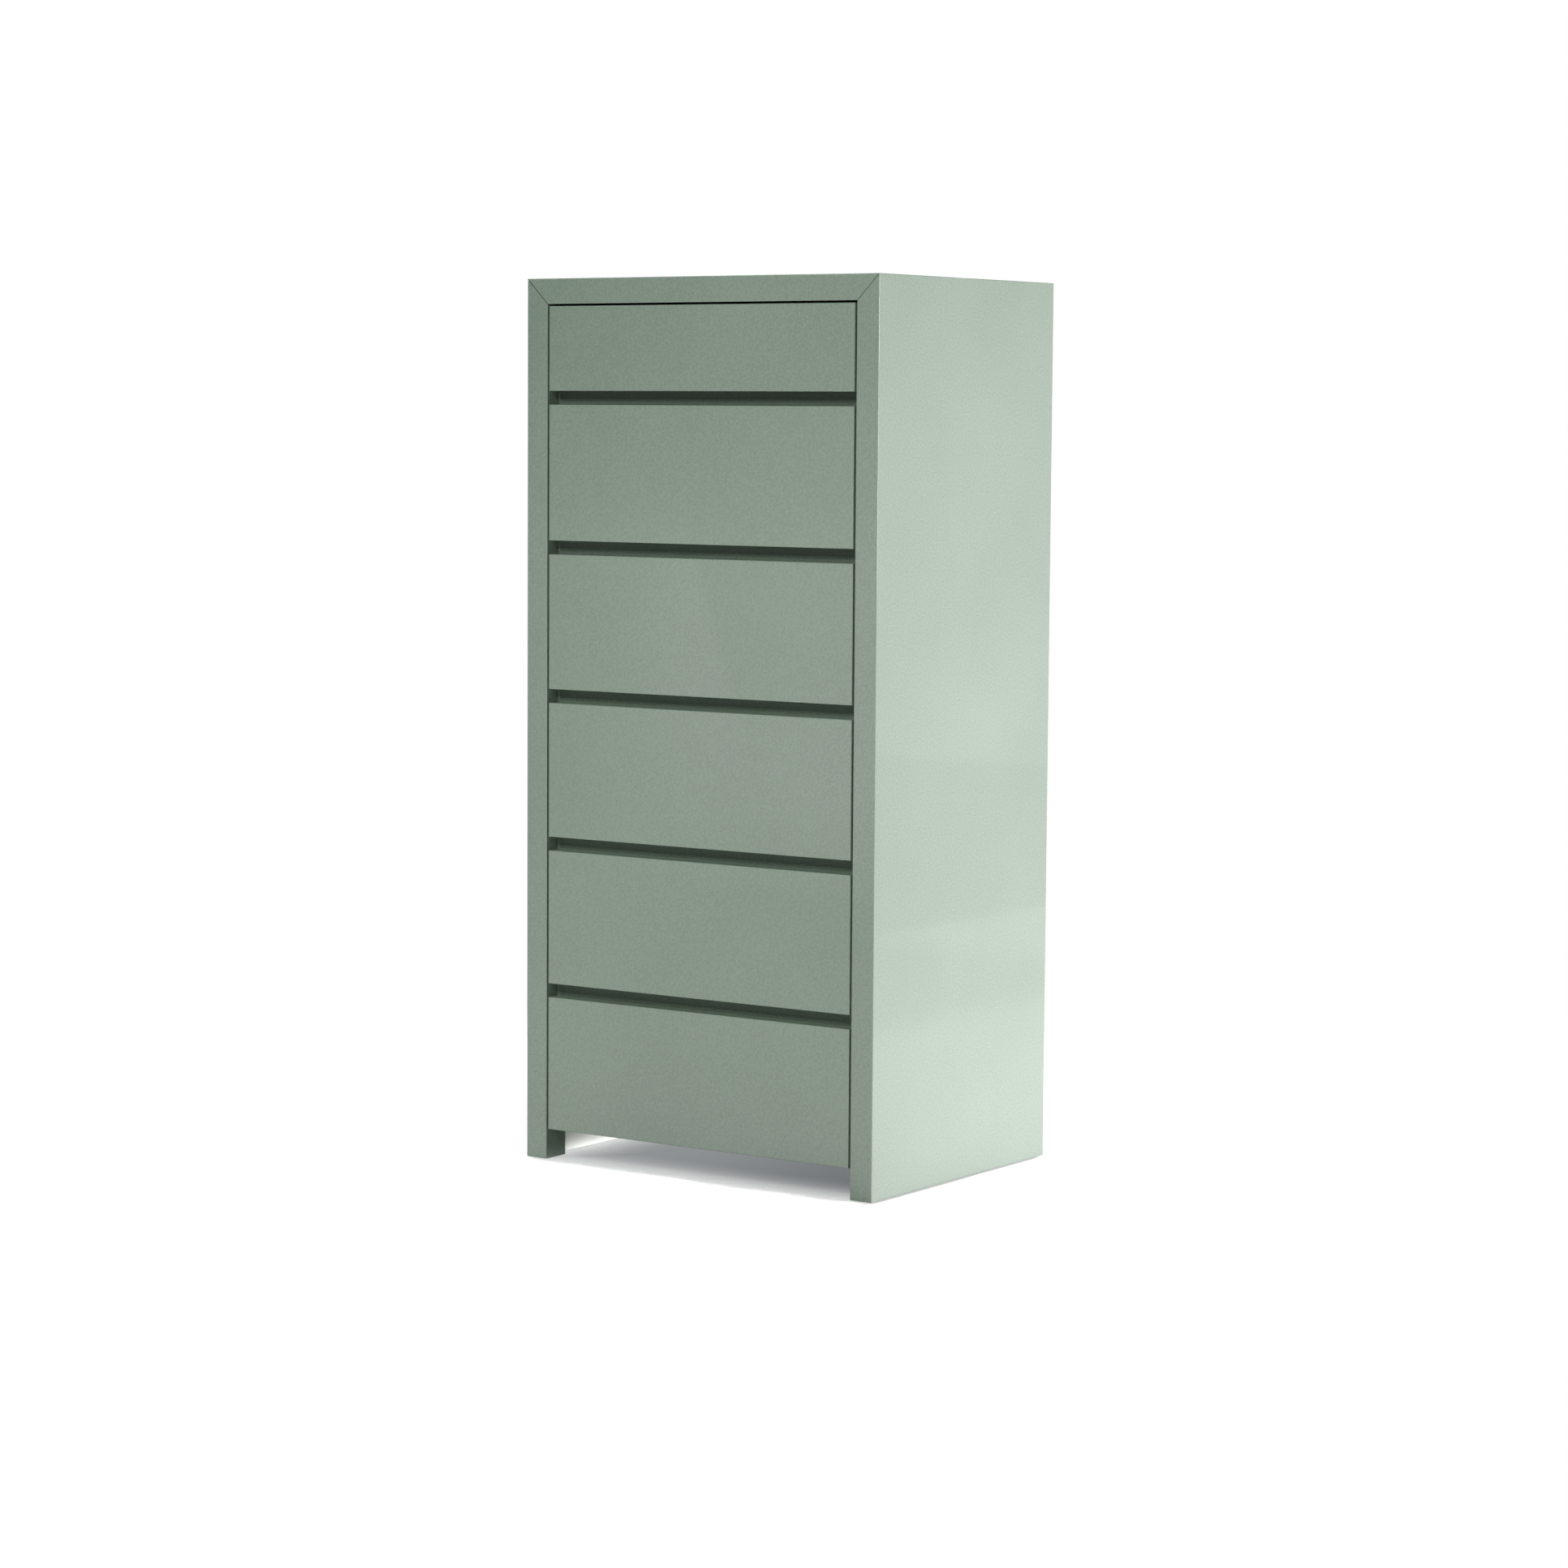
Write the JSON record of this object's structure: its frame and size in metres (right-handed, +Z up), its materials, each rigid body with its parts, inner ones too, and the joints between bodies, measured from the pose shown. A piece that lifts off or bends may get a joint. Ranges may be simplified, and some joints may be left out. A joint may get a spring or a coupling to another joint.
{
  "type": "tall chest of drawers",
  "caption": "Tall narrow chest of drawers: mitred lacquered frame, flush fronts without handles, recessed grip grooves between them, and drawers on telescopic runners.",
  "frame": {"origin": "on the floor under the middle of the chest", "axes": "+Z up, the front faces -Y, +X to the right as seen from the front"},
  "size_m": [0.6, 0.458, 1.27],
  "materials": {
    "lacquer": "satin sage-green lacquer",
    "drawer_board": "clear matt birch",
    "drawer_bottom": "clear matt birch",
    "beech": "raw beech",
    "runner_steel": "bright zinc plating",
    "screw_steel": "bright zinc plating",
    "glide_plastic": "moulded nylon"
  },
  "bodies": {
    "carcass": {"top_panel": "lacquer", "left_side_panel": "lacquer", "right_side_panel": "lacquer", "bottom_panel": "lacquer", "back_panel": "lacquer", "cross_rail_1": "lacquer", "cross_rail_2": "lacquer", "cross_rail_3": "lacquer", "cross_rail_4": "lacquer", "cross_rail_5": "lacquer", "carcass_dowels": "beech", "mitre_splines": "beech", "back_panel_screws": "screw_steel", "floor_glides": "glide_plastic", "left_cabinet_runners": "runner_steel", "right_cabinet_runners": "runner_steel"},
    "drawer_1": {"drawer_1_front": "lacquer", "drawer_1_left_side": "drawer_board", "drawer_1_right_side": "drawer_board", "drawer_1_back": "drawer_board", "drawer_1_bottom": "drawer_bottom", "drawer_1_runners": "runner_steel"},
    "drawer_1_middle": {"drawer_1_middle_runners": "runner_steel"},
    "drawer_2": {"drawer_2_front": "lacquer", "drawer_2_left_side": "drawer_board", "drawer_2_right_side": "drawer_board", "drawer_2_back": "drawer_board", "drawer_2_bottom": "drawer_bottom", "drawer_2_runners": "runner_steel"},
    "drawer_2_middle": {"drawer_2_middle_runners": "runner_steel"},
    "drawer_3": {"drawer_3_front": "lacquer", "drawer_3_left_side": "drawer_board", "drawer_3_right_side": "drawer_board", "drawer_3_back": "drawer_board", "drawer_3_bottom": "drawer_bottom", "drawer_3_runners": "runner_steel"},
    "drawer_3_middle": {"drawer_3_middle_runners": "runner_steel"},
    "drawer_4": {"drawer_4_front": "lacquer", "drawer_4_left_side": "drawer_board", "drawer_4_right_side": "drawer_board", "drawer_4_back": "drawer_board", "drawer_4_bottom": "drawer_bottom", "drawer_4_runners": "runner_steel"},
    "drawer_4_middle": {"drawer_4_middle_runners": "runner_steel"},
    "drawer_5": {"drawer_5_front": "lacquer", "drawer_5_left_side": "drawer_board", "drawer_5_right_side": "drawer_board", "drawer_5_back": "drawer_board", "drawer_5_bottom": "drawer_bottom", "drawer_5_runners": "runner_steel"},
    "drawer_5_middle": {"drawer_5_middle_runners": "runner_steel"},
    "drawer_6": {"drawer_6_front": "lacquer", "drawer_6_left_side": "drawer_board", "drawer_6_right_side": "drawer_board", "drawer_6_back": "drawer_board", "drawer_6_bottom": "drawer_bottom", "drawer_6_runners": "runner_steel"},
    "drawer_6_middle": {"drawer_6_middle_runners": "runner_steel"}
  },
  "joints": [
    {"name": "drawer_1_slide", "type": "slide", "parent": "carcass", "child": "drawer_1", "axis": [0, -1, 0], "range_m": [0, 0.4]},
    {"name": "drawer_1_middle_slide", "type": "slide", "parent": "carcass", "child": "drawer_1_middle", "axis": [0, -1, 0], "range_m": [0, 0.2]},
    {"name": "drawer_2_slide", "type": "slide", "parent": "carcass", "child": "drawer_2", "axis": [0, -1, 0], "range_m": [0, 0.4]},
    {"name": "drawer_2_middle_slide", "type": "slide", "parent": "carcass", "child": "drawer_2_middle", "axis": [0, -1, 0], "range_m": [0, 0.2]},
    {"name": "drawer_3_slide", "type": "slide", "parent": "carcass", "child": "drawer_3", "axis": [0, -1, 0], "range_m": [0, 0.4]},
    {"name": "drawer_3_middle_slide", "type": "slide", "parent": "carcass", "child": "drawer_3_middle", "axis": [0, -1, 0], "range_m": [0, 0.2]},
    {"name": "drawer_4_slide", "type": "slide", "parent": "carcass", "child": "drawer_4", "axis": [0, -1, 0], "range_m": [0, 0.4]},
    {"name": "drawer_4_middle_slide", "type": "slide", "parent": "carcass", "child": "drawer_4_middle", "axis": [0, -1, 0], "range_m": [0, 0.2]},
    {"name": "drawer_5_slide", "type": "slide", "parent": "carcass", "child": "drawer_5", "axis": [0, -1, 0], "range_m": [0, 0.4]},
    {"name": "drawer_5_middle_slide", "type": "slide", "parent": "carcass", "child": "drawer_5_middle", "axis": [0, -1, 0], "range_m": [0, 0.2]},
    {"name": "drawer_6_slide", "type": "slide", "parent": "carcass", "child": "drawer_6", "axis": [0, -1, 0], "range_m": [0, 0.4]},
    {"name": "drawer_6_middle_slide", "type": "slide", "parent": "carcass", "child": "drawer_6_middle", "axis": [0, -1, 0], "range_m": [0, 0.2]}
  ],
  "couplings": [
    {"joint": "drawer_1_middle_slide", "follows": "drawer_1_slide", "ratio": 0.5},
    {"joint": "drawer_2_middle_slide", "follows": "drawer_2_slide", "ratio": 0.5},
    {"joint": "drawer_3_middle_slide", "follows": "drawer_3_slide", "ratio": 0.5},
    {"joint": "drawer_4_middle_slide", "follows": "drawer_4_slide", "ratio": 0.5},
    {"joint": "drawer_5_middle_slide", "follows": "drawer_5_slide", "ratio": 0.5},
    {"joint": "drawer_6_middle_slide", "follows": "drawer_6_slide", "ratio": 0.5}
  ]
}
